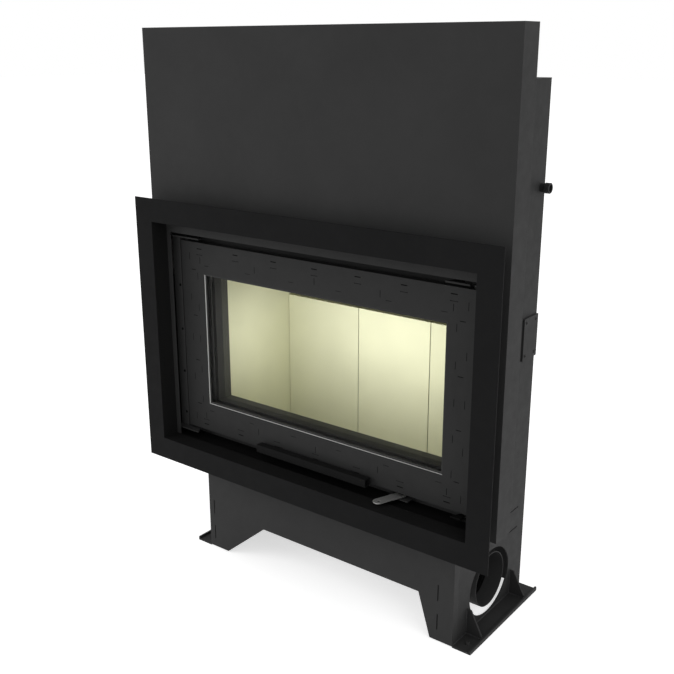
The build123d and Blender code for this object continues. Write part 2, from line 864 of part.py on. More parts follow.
def latch(index):
    """Finger that closes the slot in front of the latch pin; it turns outwards."""
    reach, z, side = plate_places[index]
    near = z + plate_sheet + gap if side > 0 else z - gap
    face = sorted((near, near + side * plate_sheet))
    half = latch_width / 2
    finger = block((latch_x - latch_length, latch_x), (latch_y - half, latch_y + half), face)
    finger += rod_z(latch_x, latch_y, face, half)
    finger += rod_z(latch_x - latch_length, latch_y, face, half)
    far = near + side * plate_sheet
    knob = sorted((far, far + side * latch_knob_height))
    finger += rod_z(latch_x - latch_length, latch_y, knob, latch_knob_radius)
    through = (face[0] - 10, face[1] + 10)
    return finger - rod_z(latch_x, latch_y, through, latch_pivot_radius + running)


# ---- Door --------------------------------------------------------------------
def door_front_frame():
    """Front sheet with the window, and its outer edges turned back."""
    z = (door_bottom, door_top)
    front = (door_front_y, door_front_y + door_sheet)
    sheet = window_ring(door_half, z, window_cut_half, window_cut_z, front)
    inner_z = (z[0] + door_sheet, z[1] - door_sheet)
    returns = (front[1], door_front_y + door_return_depth)
    return sheet + window_ring(door_half, z, door_half - door_sheet, inner_z, returns)


def door_rear_frame():
    """Tray behind the front sheet: four walls and the flat sealing face."""
    half = door_half - rear_frame_inset
    z = (door_bottom + rear_frame_inset_z, door_top - rear_frame_inset_z)
    face = (rear_frame_y - door_sheet, rear_frame_y)
    in_half = window_half + rear_frame_margin
    in_z = (window_bottom - rear_frame_margin, window_top + rear_frame_margin)
    frame = window_ring(half, z, in_half, in_z, face)
    wall_z = (z[0] + door_sheet, z[1] - door_sheet)
    walls = (door_front_y + door_sheet, face[0])
    return frame + window_ring(half, z, half - door_sheet, wall_z, walls)


def door_glass():
    half = window_half + glass_lap
    z = (window_bottom - glass_lap, window_top + glass_lap)
    return block((-half, half), (glass_front_y, glass_rear_y), z)


def glass_gasket():
    half = window_half + glass_lap
    z = (window_bottom - glass_lap, window_top + glass_lap)
    in_half = window_half - glass_gasket_lap_side
    in_z = (window_bottom + glass_gasket_lap_bottom, window_top - glass_gasket_lap_top)
    return window_ring(half, z, in_half, in_z, (door_front_y + door_sheet, glass_front_y))


def glass_trim():
    """Four bright strips that line the cut edges of the window in the front sheet."""
    y = (door_front_y, door_front_y + door_sheet)
    low, high = window_cut_z
    half = window_cut_half
    side_z = (low + trim_sheet + trim_end_gap, high - trim_sheet - trim_end_gap)
    side = block((half - trim_sheet, half), y, side_z)
    lower = block((-half, half), y, (low, low + trim_sheet))
    upper = block((-half, half), y, (high - trim_sheet, high))
    return group(side, mirrored(side), lower, upper)


def glass_clips():
    """Small clips behind the glass, three along each rail and two at each side."""
    solids = []
    edge = window_half + glass_lap
    block_y = (door_front_y + door_sheet, glass_rear_y)
    plate_y = (glass_rear_y, glass_rear_y + clip_sheet)
    half = clip_length / 2
    for step in (-1, 0, 1):
        x = (step * window_half * 0.7 - half, step * window_half * 0.7 + half)
        for level, way in ((window_bottom - glass_lap, -1), (window_top + glass_lap, 1)):
            stand = sorted((level + way * gap, level + way * clip_block))
            bar = sorted((level + way * clip_block, level + way * (clip_block - clip_width)))
            solids.append(block(x, block_y, stand) + block(x, plate_y, bar))
    for level in (window_bottom + 0.25 * door_height, window_top - 0.25 * door_height):
        z = (level - half, level + half)
        stand = block((edge + gap, edge + clip_block), block_y, z)
        bar = block((edge + clip_block - clip_width, edge + clip_block), plate_y, z)
        clip = stand + bar
        solids += [clip, mirrored(clip)]
    return group(*solids)


def door_pins():
    """Hinge pins at the left corners and latch pins at the right ones."""
    solids = []
    for side in (-1, 1):
        top = rod_z(side * pin_x, pin_y, (door_top, upper_plate_z - gap), pin_collar_radius)
        tip = upper_plate_z + plate_sheet + pin_proud
        top += rod_z(side * pin_x, pin_y, (door_top, tip), pin_radius)
        low = (lower_plate_z + plate_sheet + gap, door_bottom)
        bottom = rod_z(side * pin_x, pin_y, low, pin_collar_radius)
        bottom += rod_z(side * pin_x, pin_y, (lower_plate_z - pin_proud, door_bottom), pin_radius)
        solids += [top, bottom]
    return group(*solids)


def door_handle():
    """Open-ended box-section bar on two stand-offs, along the door's lower edge."""
    z = (door_bottom - handle_below_door, door_bottom - handle_below_door + handle_height)
    rear = door_front_y - handle_standoff
    y = (rear - handle_depth, rear)
    half = handle_length / 2
    wall = handle_wall
    bar = block((-half, half), y, z)
    bar -= block((-half - 1, half + 1), (y[0] + wall, y[1] - wall), (z[0] + wall, z[1] - wall))
    for side in (-1, 1):
        x = side * handle_standoff_spacing / 2
        bar += rod_y(x, (rear, door_front_y), (z[0] + z[1]) / 2, handle_standoff_radius)
    return bar


# ---- Write the pieces --------------------------------------------------------
centre_left = centre_brick_offset - centre_brick_width / 2
centre_right = centre_brick_offset + centre_brick_width / 2
right_hand = {
    "foot_plate": foot_plate(),
    "guide_rail": guide_rail(),
    "carriage_stile": carriage_stile(),
    "wire_rope": wire_rope(),
    "counterweight": counterweight(),
    "pulley": pulley(),
    "lining": lining_side_brick(),
    "lower_roller": guide_roller(roller_heights[0]),
    "upper_roller": guide_roller(roller_heights[1]),
}
for name, shape in right_hand.items():
    save(f"{name}_right", shape)
    save(f"{name}_left", mirrored(shape))

gussets = [gusset(y) for y in gusset_places]
single = {
    "foot_gussets": group(*gussets, *[mirrored(g) for g in gussets]),
    "base_front_panel": base_front_panel(),
    "side_panel_left": mirrored(side_panel()),
    "side_panel_right": right_side_panel(),
    "back_panel": back_panel(),
    "top_panel": top_panel(),
    "flue_collar": flue_collar(),
    "side_nipple": side_nipple(),
    "side_cover_plate": side_cover_plate(),
    "firebox_floor": firebox_floor(),
    "throat_frame": throat_frame(),
    "lining_back_left": lining_back_brick((-window_half, centre_left)),
    "lining_back_centre": lining_back_brick((centre_left, centre_right)),
    "lining_back_right": lining_back_brick((centre_right, window_half)),
    "lining_front": lining_front_brick(),
    "hearth_slab": hearth_slab(),
    "lower_baffle": lower_baffle(),
    "upper_baffle": upper_baffle(),
    "air_inlet_duct": air_inlet_duct(),
    "air_chamber": air_chamber(),
    "air_slot_plate": air_slot_plate(),
    "air_lever": air_lever(),
    "air_shutter": air_shutter(),
    "portal_flange": portal_flange(),
    "portal_sleeve": portal_sleeve(),
    "housing_shell": housing_shell(),
    "housing_lid": housing_lid(),
    "housing_back_plate": housing_back_plate(),
    "door_gasket": door_gasket(),
    "pulley_axles": group(pulley_axle(), mirrored(pulley_axle())),
    "carriage_cross_bar": carriage_cross_bar(),
    "hinge_and_strike_plates": plate_pair(),
    "latch_upper": latch(0),
    "latch_lower": latch(1),
    "door_front_frame": door_front_frame(),
    "door_rear_frame": door_rear_frame(),
    "door_glass": door_glass(),
    "glass_gasket": glass_gasket(),
    "glass_trim": glass_trim(),
    "glass_clips": glass_clips(),
    "door_pins": door_pins(),
    "door_handle": door_handle(),
}
for name, shape in single.items():
    save(name, shape)
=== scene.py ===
import math

import bmesh
import bpy
from mathutils import Matrix, Vector

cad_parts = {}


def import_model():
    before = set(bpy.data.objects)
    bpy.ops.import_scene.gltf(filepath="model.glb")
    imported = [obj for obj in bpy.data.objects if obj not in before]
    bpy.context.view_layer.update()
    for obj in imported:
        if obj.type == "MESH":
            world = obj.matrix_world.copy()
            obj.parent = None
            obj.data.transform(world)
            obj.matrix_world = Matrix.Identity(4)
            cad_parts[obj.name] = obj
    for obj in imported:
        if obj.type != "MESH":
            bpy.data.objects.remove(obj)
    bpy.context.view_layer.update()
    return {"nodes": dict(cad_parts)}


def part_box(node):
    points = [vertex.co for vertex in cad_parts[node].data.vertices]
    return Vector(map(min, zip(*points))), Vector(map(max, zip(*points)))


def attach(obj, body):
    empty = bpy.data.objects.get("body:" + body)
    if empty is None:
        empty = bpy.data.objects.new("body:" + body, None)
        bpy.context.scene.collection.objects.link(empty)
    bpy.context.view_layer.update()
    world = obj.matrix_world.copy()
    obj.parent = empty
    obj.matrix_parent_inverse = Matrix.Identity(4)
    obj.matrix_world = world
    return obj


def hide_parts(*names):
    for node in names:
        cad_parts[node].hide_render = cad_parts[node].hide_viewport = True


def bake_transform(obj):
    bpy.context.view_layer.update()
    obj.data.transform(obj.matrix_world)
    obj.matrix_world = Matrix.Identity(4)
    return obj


# Looks of the fireplace insert. Numbers in the piece functions are millimetres in the
# frame of the drawing: X across from the middle, Y back from the portal's face, Z up.
# Numbers in the finishes, the lamps and the camera are metres in the row's frame.
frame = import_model()
nodes = frame["nodes"]
scene = bpy.context.scene
TO_ROW = Matrix.Translation((0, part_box("portal_flange")[0].y, 0)) @ Matrix.Scale(0.001, 4)
FROM_ROW = TO_ROW.inverted()
UP, BACK, FRONT, RIGHT = (0, 0, 1), (0, 1, 0), (0, -1, 0), (1, 0, 0)


def span(name):
    """Lowest and highest corner of a CAD node in the drawing's millimetres."""
    low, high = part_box(name)
    return FROM_ROW @ low, FROM_ROW @ high


# ---- Node helpers ------------------------------------------------------------
def node(tree, kind, inputs=None, **settings):
    made = tree.nodes.new(kind)
    for key, value in settings.items():
        setattr(made, key, value)
    for key, value in (inputs or {}).items():
        if isinstance(value, bpy.types.NodeSocket):
            tree.links.new(value, made.inputs[key])
        else:
            made.inputs[key].default_value = value
    return made


def noise(tree, place, scale, detail, rough=0.6):
    inputs = {"Vector": place, "Scale": scale, "Detail": detail, "Roughness": rough}
    return node(tree, "ShaderNodeTexNoise", inputs).outputs["Fac"]


def maths(tree, kind, a, b):
    return node(tree, "ShaderNodeMath", {0: a, 1: b}, operation=kind).outputs[0]


def spread(tree, value, low, high, to_low=0.0, to_high=1.0):
    made = node(tree, "ShaderNodeMapRange", {
        "Value": value, "From Min": low, "From Max": high, "To Min": to_low, "To Max": to_high,
    })
    return made.outputs["Result"]


def blend_colours(tree, share, a, b):
    made = node(tree, "ShaderNodeMix", {0: share, 6: a, 7: b}, data_type="RGBA")
    return made.outputs[2]


def bumped(tree, height, strength, distance, normal=None):
    inputs = {"Height": height, "Strength": strength, "Distance": distance}
    if normal is not None:
        inputs["Normal"] = normal
    return node(tree, "ShaderNodeBump", inputs).outputs[0]


def grey(level):
    return (level, level, level)


def tone(colour, share):
    """A colour made darker or lighter, with its alpha."""
    return tuple(min(1.0, c * share) for c in colour[:3]) + (1.0,)


def start(name):
    """A material with an empty tree, and the place on the piece in row metres."""
    material = bpy.data.materials.new(name)
    material.use_nodes = True
    tree = material.node_tree
    tree.nodes.clear()
    place = node(tree, "ShaderNodeTexCoord").outputs["Object"]
    return material, tree, place


def show_shader(tree, shader):
    node(tree, "ShaderNodeOutputMaterial", {"Surface": shader.outputs[0]})


def principled(material, tree, inputs):
    show_shader(tree, node(tree, "ShaderNodeBsdfPrincipled", inputs))
    return material


def edge_mask(tree, radius):
    """1 on outer edges and 0 away from them, and the normal rounded over the edges."""
    no_edge, full_edge = 0.012, 0.10  # by how much the product of the two normals drops
    bevel = node(tree, "ShaderNodeBevel", {"Radius": radius}, samples=4).outputs[0]
    true = node(tree, "ShaderNodeNewGeometry").outputs["True Normal"]
    dot = node(tree, "ShaderNodeVectorMath", {0: bevel, 1: true}, operation="DOT_PRODUCT")
    return spread(tree, dot.outputs["Value"], 1 - no_edge, 1 - full_edge), bevel


# ---- Finishes ----------------------------------------------------------------
PAINT_EDGE, METAL_EDGE, BRICK_EDGE = 0.0009, 0.0005, 0.0012


def painted(
    name, colour, rough=0.6, shine=0.12, vary=0.10, grain=0.10, wear=0.5,
    shade=None, shade_colour=grey(0.0025),
):
    """Heat-proof stove paint: fine spray grain, a slightly uneven coat, paler rubbed edges."""
    material, tree, place = start(name)
    mask, rounded = edge_mask(tree, PAINT_EDGE)
    coat = noise(tree, place, 4.5, 5.0)
    patch = noise(tree, place, 38.0, 4.0)
    fine = noise(tree, place, 950.0, 2.0)
    uneven = spread(tree, coat, 0.3, 0.7)
    colours = blend_colours(tree, uneven, tone(colour, 1 - vary), tone(colour, 1 + vary))
    thin = spread(tree, patch, 0.62, 0.8, 0.0, 0.35)
    colours = blend_colours(tree, thin, colours, tone(colour, 1 + 3 * vary))
    specks = spread(tree, fine, 0.25, 0.75, 0.0, 0.22)
    colours = blend_colours(tree, specks, colours, tone(colour, 0.72))
    rub = maths(tree, "MULTIPLY", mask, spread(tree, patch, 0.35, 0.75, 0.15 * wear, wear))
    colours = blend_colours(tree, rub, colours, tone(colour, 2.4))
    # The optional shade mask paints a region in shade_colour: painted shade on the housing floor,
    # the lower strike plate and inside the duct, painted light on the glass seat, and a lighter
    # grey at the throat's rear.
    if shade:
        colours = blend_colours(tree, shade(tree, place), colours, (*shade_colour, 1.0))
    return principled(material, tree, {
        "Base Color": colours,
        "Roughness": spread(tree, patch, 0.3, 0.75, rough - 0.05, rough + 0.07),
        "Normal": bumped(tree, fine, grain, 0.0004, rounded),
        "Specular IOR Level": shine,
    })


def metal(
    name, colour, rough, brushed=(1.0, 1.0, 1.0), vary=0.12, grain=0.12, dirt=0.3, metallic=1.0,
):
    """Bare or plated steel: a lay of fine scratches, soft cloudiness, darker grime."""
    material, tree, place = start(name)
    mask, rounded = edge_mask(tree, METAL_EDGE)
    stretched = node(tree, "ShaderNodeMapping", {"Vector": place, "Scale": brushed}).outputs[0]
    lay = noise(tree, stretched, 420.0, 3.0)
    cloud = noise(tree, place, 26.0, 4.0)
    scratches = spread(tree, lay, 0.3, 0.7)
    colours = blend_colours(tree, scratches, tone(colour, 1 - vary), tone(colour, 1 + vary))
    grime = spread(tree, cloud, 0.55, 0.8, 0.0, dirt)
    colours = blend_colours(tree, grime, colours, tone(colour, 0.45))
    rub = maths(tree, "MULTIPLY", mask, 0.5)
    colours = blend_colours(tree, rub, colours, tone(colour, 1.35))
    return principled(material, tree, {
        "Base Color": colours,
        "Roughness": spread(tree, cloud, 0.3, 0.75, rough - 0.06, rough + 0.12),
        "Normal": bumped(tree, lay, grain, 0.0002, rounded),
        "Metallic": metallic,
    })


def cut_edge(name, colour, paint):
    """Steel strip whose inner faces are near white, a painted highlight for the steel's sheen, and
    whose front faces take the door's paint, where no sheen shows.
    """
    material, tree, place = start(name)
    facing = node(tree, "ShaderNodeTexCoord").outputs["Normal"]
    across = node(tree, "ShaderNodeSeparateXYZ", {0: facing}).outputs["Y"]
    front = spread(tree, across, -0.5, -0.75)
    lay = noise(tree, place, 700.0, 3.0)
    cloud = noise(tree, place, 14.0, 3.0)
    scratches = spread(tree, lay, 0.3, 0.7)
    # Near-white steel: a painted highlight on the inner faces.
    steel = blend_colours(tree, scratches, tone(colour, 0.95), tone(colour, 1.05))
    return principled(material, tree, {
        "Base Color": blend_colours(tree, front, steel, (*paint, 1.0)),
        "Roughness": spread(tree, cloud, 0.3, 0.7, 0.42, 0.52),
        "Metallic": spread(tree, front, 0.0, 1.0, 0.12, 0.0),
        "Specular IOR Level": 0.2,
    })


def refractory(name, colour, seed=0.0):
    """Pressed fire board: sandy grain, small pits and flecks, darker rubbed edges."""
    material, tree, place = start(name)
    moved = node(tree, "ShaderNodeMapping", {
        "Vector": place, "Location": (seed, seed * 0.7, seed * 1.3),
    }).outputs[0]
    mask, rounded = edge_mask(tree, BRICK_EDGE)
    sand = noise(tree, moved, 420.0, 3.0, 0.65)
    cloud = noise(tree, moved, 7.0, 5.0)
    cells = {"Vector": moved, "Scale": 240.0}
    flecks = node(tree, "ShaderNodeTexVoronoi", cells).outputs["Distance"]
    uneven = spread(tree, cloud, 0.3, 0.7)
    colours = blend_colours(tree, uneven, tone(colour, 0.95), tone(colour, 1.03))
    grains = spread(tree, sand, 0.35, 0.7, 0.0, 0.35)
    colours = blend_colours(tree, grains, colours, tone(colour, 0.86))
    pits = spread(tree, flecks, 0.16, 0.04, 0.0, 0.30)
    colours = blend_colours(tree, pits, colours, tone(colour, 0.7))
    rub = maths(tree, "MULTIPLY", mask, 0.35)
    colours = blend_colours(tree, rub, colours, tone(colour, 0.8))
    height = maths(tree, "ADD", sand, spread(tree, flecks, 0.2, 0.0, 0.0, -0.6))
    return principled(material, tree, {
        "Base Color": colours,
        "Roughness": spread(tree, sand, 0.3, 0.7, 0.86, 0.96),
        "Normal": bumped(tree, height, 0.35, 0.0006, rounded),
        "Specular IOR Level": 0.1,
    })


def braided(name, colour):
    """Woven sealing tape: crossed yarns over a loose fibre fuzz."""
    material, tree, place = start(name)
    slanted = node(tree, "ShaderNodeMapping", {
        "Vector": place, "Rotation": (0, math.radians(45), 0),
    }).outputs[0]
    yarn = {"Vector": slanted, "Scale": 90.0, "Distortion": 1.2, "Detail": 1.0}
    first, second = (
        node(tree, "ShaderNodeTexWave", yarn, bands_direction=way).outputs["Fac"]
        for way in ("X", "Z")
    )
    weave = maths(tree, "MAXIMUM", first, second)
    fuzz = noise(tree, place, 1400.0, 2.0, 0.7)
    height = maths(tree, "ADD", weave, maths(tree, "MULTIPLY", fuzz, 0.4))
    colours = blend_colours(tree, weave, tone(colour, 0.45), tone(colour, 1.15))
    loose = spread(tree, fuzz, 0.3, 0.8, 0.0, 0.4)
    return principled(material, tree, {
        "Base Color": blend_colours(tree, loose, colours, tone(colour, 1.5)),
        "Roughness": 0.95, "Normal": bumped(tree, height, 0.6, 0.0007),
        "Specular IOR Level": 0.1, "Sheen Weight": 0.2, "Sheen Roughness": 0.6,
    })


def clear_glass(name):
    """Heat-proof ceramic glass, faintly warm, with a breath of soot in places.

    The index is low because a stronger reflection speckles in views along the pane.
    """
    material, tree, place = start(name)
    soot = spread(tree, noise(tree, place, 5.0, 5.0, 0.65), 0.5, 0.85, 0.0, 0.5)
    clear = (0.985, 0.985, 0.965, 1.0)
    return principled(material, tree, {
        "Base Color": blend_colours(tree, soot, clear, tone(clear, 0.94)),
        "Transmission Weight": 1.0, "IOR": 1.05, "Roughness": 0.0,
    })


# ---- Parts of a piece that look different -------------------------------------
HOUSING_FLOOR_HEIGHT = 0.0085  # above the lowest edge of the housing's shell
BACK_OF_THROAT_Y = -0.0915  # behind the throat's front sheet
FRONT_OF_GLASS_SEAT_Y = -0.124  # before the glass
DUCT_MOUTH_X = 0.3795
MIDDLE_OF_DOOR_Z = 0.5


def beyond(tree, place, axis, limit, way=1):
    """1 where a place lies past a limit along an axis, and 0 before it."""
    along = node(tree, "ShaderNodeSeparateXYZ", {0: place}).outputs[axis]
    return maths(tree, "GREATER_THAN" if way > 0 else "LESS_THAN", along, limit)


def painted_shade_housing_floor(tree, place):
    """The housing's floor under the door, painted near black as painted shade."""
    facing = node(tree, "ShaderNodeTexCoord").outputs["Normal"]
    top = span("housing_shell")[0].z * 0.001 + HOUSING_FLOOR_HEIGHT
    facing_up = beyond(tree, facing, "Z", 0.5)
    return maths(tree, "MULTIPLY", beyond(tree, place, "Z", top, -1), facing_up)


def lower_strike(tree, place):
    """The plate under the door's latch corner, which stays in the sleeve's shadow."""
    low = beyond(tree, place, "Z", MIDDLE_OF_DOOR_Z, -1)
    return maths(tree, "MULTIPLY", beyond(tree, place, "X", 0.0), low)


def throat_rear_lighter(tree, place):
    """The throat's rear part, behind its front sheet, painted a lighter grey."""
    return beyond(tree, place, "Y", BACK_OF_THROAT_Y)


def painted_light_glass_seat(tree, place):
    """The front of the door's rear frame behind the glass, painted a lighter grey: painted light
    in its deep, shaded gap.
    """
    return beyond(tree, place, "Y", FRONT_OF_GLASS_SEAT_Y, -1)


def painted_shade_in_duct(tree, place):
    """The inside of the air duct beyond its short mouth, painted near black as painted shade."""
    return beyond(tree, place, "X", DUCT_MOUTH_X, -1)


# ---- The finish of each piece -------------------------------------------------
door_grey = grey(0.0262)
brick_colour = (0.72, 0.72, 0.515)

paint_housing = painted("paint_housing", grey(0.0285))
# The housing shell has painted shade on its floor under the door.
paint_shell = painted("paint_housing_shell", grey(0.0285), shade=painted_shade_housing_floor)
# The stiles' paint is lighter than their neighbours': painted light against the shade of their
# recess.
paint_stile_painted_light = painted("paint_stile_painted_light", grey(0.037), wear=0.2)
paint_plates = painted("paint_plates", door_grey, shade=lower_strike)
# The duct is painted near black past its mouth: painted shade inside it.
paint_duct = painted("paint_duct", grey(0.030), wear=0.25, shade=painted_shade_in_duct)
paint_handle = painted("paint_handle", grey(0.0088), shine=0.05)
paint_body = painted("paint_body", grey(0.0325))
# A darker copy of the body paint on the side panels, cover plate and its screws: painted shade
# where the right lamp lights them more.
paint_side_painted_shade = painted("paint_side_painted_shade", grey(0.0275), vary=0.05)
# A darker copy of the body paint on the feet and gussets: painted shade low down by the floor.
paint_feet_painted_shade = painted("paint_feet_painted_shade", grey(0.0255))
paint_nipple = painted("paint_nipple", grey(0.019), rough=0.5, wear=0.9)
# The rear frame's front behind the glass is painted lighter grey: painted light.
paint_rear_frame = painted(
    "paint_rear_frame", grey(0.026), shine=0.05, wear=0.3,
    shade=painted_light_glass_seat, shade_colour=grey(0.078),
)
paint_throat = painted(
    "paint_throat", grey(0.044), rough=0.7, shine=0.03, grain=0.02,
    shade=throat_rear_lighter, shade_colour=(0.078, 0.078, 0.070),
)
paint_portal = painted(
    "paint_portal", (0.0088, 0.0088, 0.0090), rough=0.62, shine=0.05, wear=0.3,
)
paint_door = painted("paint_door", door_grey)
paint_dark = painted("paint_dark", grey(0.009), shine=0.05)
# Near black: the blackened screws' own finish, and painted shade on the door's slot marks and the
# base's tabs.
mark_dark = painted("paint_mark", grey(0.003), rough=0.7, shine=0.02, wear=0.0)
weld_finish = painted("paint_weld", (0.030, 0.030, 0.031), rough=0.45, shine=0.25, grain=0.2)
# The window trim: near-white inner faces as a painted highlight.
bright = cut_edge("steel_cut_edge", (0.93, 0.93, 0.91), door_grey)
bright_lever = metal(
    "steel_lever", (0.46, 0.46, 0.45), rough=0.34, brushed=(1.0, 0.2, 1.0),
    vary=0.05, grain=0.05, dirt=0.08, metallic=0.75,
)
plated = metal("steel_plated", (0.50, 0.51, 0.53), rough=0.38, grain=0.05, dirt=0.4)
bare = metal("steel_bare", (0.22, 0.215, 0.21), rough=0.5, vary=0.2, dirt=0.7)
rope_wire = metal("steel_rope", (0.42, 0.42, 0.43), rough=0.35, grain=0.05)
brick = refractory("fire_board", brick_colour)
brick_second = refractory("fire_board_second", tone(brick_colour, 0.985), 3.1)
brick_floor = refractory("fire_board_floor", (0.30, 0.295, 0.22), 5.7)
cement = refractory("joint_cement", (0.10, 0.10, 0.07), 8.3)
tape = braided("sealing_tape", grey(0.022))
glass = clear_glass("ceramic_glass")

slot_finish = {
    "black_paint": paint_body, "bright_steel": bright, "plated_steel": plated,
    "bare_steel": bare, "wire_rope": rope_wire, "glass": glass, "fire_brick": brick,
    "gasket_fibre": tape,
}
node_finish = {
    "housing_shell": paint_shell, "housing_lid": paint_housing,
    "housing_back_plate": paint_body, "portal_flange": paint_portal,
    "portal_sleeve": paint_dark, "door_front_frame": paint_door,
    "door_rear_frame": paint_rear_frame, "door_pins": paint_dark,
    "carriage_stile_left": paint_stile_painted_light, "carriage_stile_right": paint_stile_painted_light,
    "carriage_cross_bar": paint_dark, "hinge_and_strike_plates": paint_plates,
    "latch_upper": paint_dark, "latch_lower": paint_dark,
    "side_panel_left": paint_side_painted_shade, "side_panel_right": paint_side_painted_shade,
    "side_cover_plate": paint_side_painted_shade, "side_nipple": paint_nipple,
    "foot_plate_left": paint_feet_painted_shade, "foot_plate_right": paint_feet_painted_shade,
    "foot_gussets": paint_feet_painted_shade, "air_inlet_duct": paint_duct, "air_chamber": paint_dark,
    "throat_frame": paint_throat, "firebox_floor": paint_dark,
    "hearth_slab": brick_floor, "lining_front": brick_floor,
}
for name, shown_node in nodes.items():
    for held in shown_node.material_slots:
        slot_name = held.material.name.split(".")[0] if held.material else "black_paint"
        held.material = node_finish.get(name) or slot_finish.get(slot_name, paint_body)


# ---- Mesh helpers ------------------------------------------------------------
def shown(name, bm, body, slot, finish, *stands_for, smooth=35.0):
    """Turn a mesh drawn in millimetres into a piece that rides on a body.

    Without a body it is left unattached.
    """
    bm.transform(TO_ROW)
    bmesh.ops.recalc_face_normals(bm, faces=bm.faces)
    mesh = bpy.data.meshes.new(name)
    bm.to_mesh(mesh)
    bm.free()
    mesh.polygons.foreach_set("use_smooth", [True] * len(mesh.polygons))
    mesh.set_sharp_from_angle(angle=math.radians(smooth))
    mesh.materials.append(finish)
    made = bpy.data.objects.new(name, mesh)
    scene.collection.objects.link(made)
    if body:
        even = made.modifiers.new("even_faces", "WEIGHTED_NORMAL")
        even.keep_sharp = True
        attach(made, body)
    if stands_for:
        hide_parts(*stands_for)
    return made


def add_box(bm, x, y, z, radius=0.0, segments=2):
    size = Matrix.Diagonal((x[1] - x[0], y[1] - y[0], z[1] - z[0], 1))
    middle = Matrix.Translation(((x[0] + x[1]) / 2, (y[0] + y[1]) / 2, (z[0] + z[1]) / 2))
    verts = bmesh.ops.create_cube(bm, size=1.0, matrix=middle @ size)["verts"]
    if radius:
        edges = list({e for v in verts for e in v.link_edges})
        bmesh.ops.bevel(
            bm, geom=edges, offset=radius, segments=segments, profile=0.5, affect="EDGES",
        )


def add_turned(bm, profile, centre, axis, steps=32):
    """A profile of (radius, height) pairs turned about an axis. A radius may be a function."""
    turn = Vector(UP).rotation_difference(Vector(axis)).to_matrix()
    centre = Vector(centre)
    rings = []
    for radius, along in profile:
        if not callable(radius) and radius < 1e-6:
            rings.append([bm.verts.new(centre + turn @ Vector((0, 0, along)))])
            continue
        ring = []
        for step in range(steps):
            angle = 2 * math.pi * step / steps
            r = radius(angle) if callable(radius) else radius
            corner = Vector((r * math.cos(angle), r * math.sin(angle), along))
            ring.append(bm.verts.new(centre + turn @ corner))
        rings.append(ring)
    for low, high in zip(rings, rings[1:]):
        for step in range(steps):
            after = (step + 1) % steps
            if len(low) == 1 and len(high) > 1:
                bm.faces.new((low[0], high[step], high[after]))
            elif len(high) == 1 and len(low) > 1:
                bm.faces.new((low[after], low[step], high[0]))
            elif len(low) > 1:
                bm.faces.new((low[step], low[after], high[after], high[step]))


def hexagon(half_flat):
    """Radius of a hexagon with that half width across its flats."""
    def radius(angle):
        return half_flat / math.cos((angle % (math.pi / 3)) - math.pi / 6)
    return radius


def add_plate(bm, outer, holes, depth, matrix, radius=0.0):
    """A flat outline with holes, raised by depth, and rounded along its rims."""
    edges = []
    for loop in [outer, *holes]:
        verts = [bm.verts.new((p[0], p[1], 0.0)) for p in loop]
        edges += [bm.edges.new((a, b)) for a, b in zip(verts, verts[1:] + verts[:1])]
    rim = {v for e in edges for v in e.verts}
    filled = bmesh.ops.triangle_fill(bm, edges=edges, use_beauty=True)["geom"]
    faces = [g for g in filled if isinstance(g, bmesh.types.BMFace)]
    raised = bmesh.ops.extrude_face_region(bm, geom=faces)["geom"]
    top = [g for g in raised if isinstance(g, bmesh.types.BMVert)]
    bmesh.ops.translate(bm, vec=(0, 0, depth), verts=top)
    everything = list(rim | set(top))
    if radius:
        mine = {e for v in everything for e in v.link_edges if len(e.link_faces) == 2}
        level = [e for e in mine if abs(e.verts[0].co.z - e.verts[1].co.z) < 1e-6]
        rims = [e for e in level if e.calc_face_angle(0.0) > 1.0]
        made = bmesh.ops.bevel(
            bm, geom=rims, offset=radius, segments=2, profile=0.5, affect="EDGES",
        )
        everything = list({v for v in everything if v.is_valid} | set(made["verts"]))
    bmesh.ops.transform(bm, matrix=matrix, verts=everything)


def arc(x, y, radius, first, last, steps):
    points = []
    for step in range(steps + 1):
        angle = math.radians(first + (last - first) * step / steps)
        points.append((x + radius * math.cos(angle), y + radius * math.sin(angle)))
    return points


def circle(x, y, radius):
    return arc(x, y, radius, 0, 345, 23)


def round_rectangle(half_x, half_y, radius, steps=5):
    points = []
    for x, y, first in ((1, 1, 0), (-1, 1, 90), (-1, -1, 180), (1, -1, 270)):
        middle = (x * (half_x - radius), y * (half_y - radius))
        points += arc(*middle, radius, first, first + 90, steps)
    return points


def ring_of(bm, centre, side, other, radius, count):
    """Corners round a centre, in the plane of two directions."""
    angles = (2 * math.pi * k / count for k in range(count))
    return [
        bm.verts.new(centre + radius * (side * math.cos(t) + other * math.sin(t)))
        for t in angles
    ]


def add_tube(bm, rings):
    """Faces between rings that follow each other, and a cap on both ends."""
    count = len(rings[0])
    for low, high in zip(rings, rings[1:]):
        for k in range(count):
            after = (k + 1) % count
            bm.faces.new((low[k], low[after], high[after], high[k]))
    bm.faces.new(rings[0][::-1])
    bm.faces.new(rings[-1])


def add_screw(bm, centre, axis, radius, height):
    """Button-head screw with a hexagon socket, on a thin washer."""
    socket = hexagon(radius * 0.34)
    profile = [
        (radius * 1.35, -0.2), (radius * 1.35, 0.8), (radius, 0.8), (radius, height * 0.45),
        (radius * 0.93, height * 0.7), (radius * 0.74, height * 0.9), (radius * 0.5, height),
        (socket, height), (socket, height * 0.35), (0.0, height * 0.28),
    ]
    add_turned(bm, profile, centre, axis, 36)


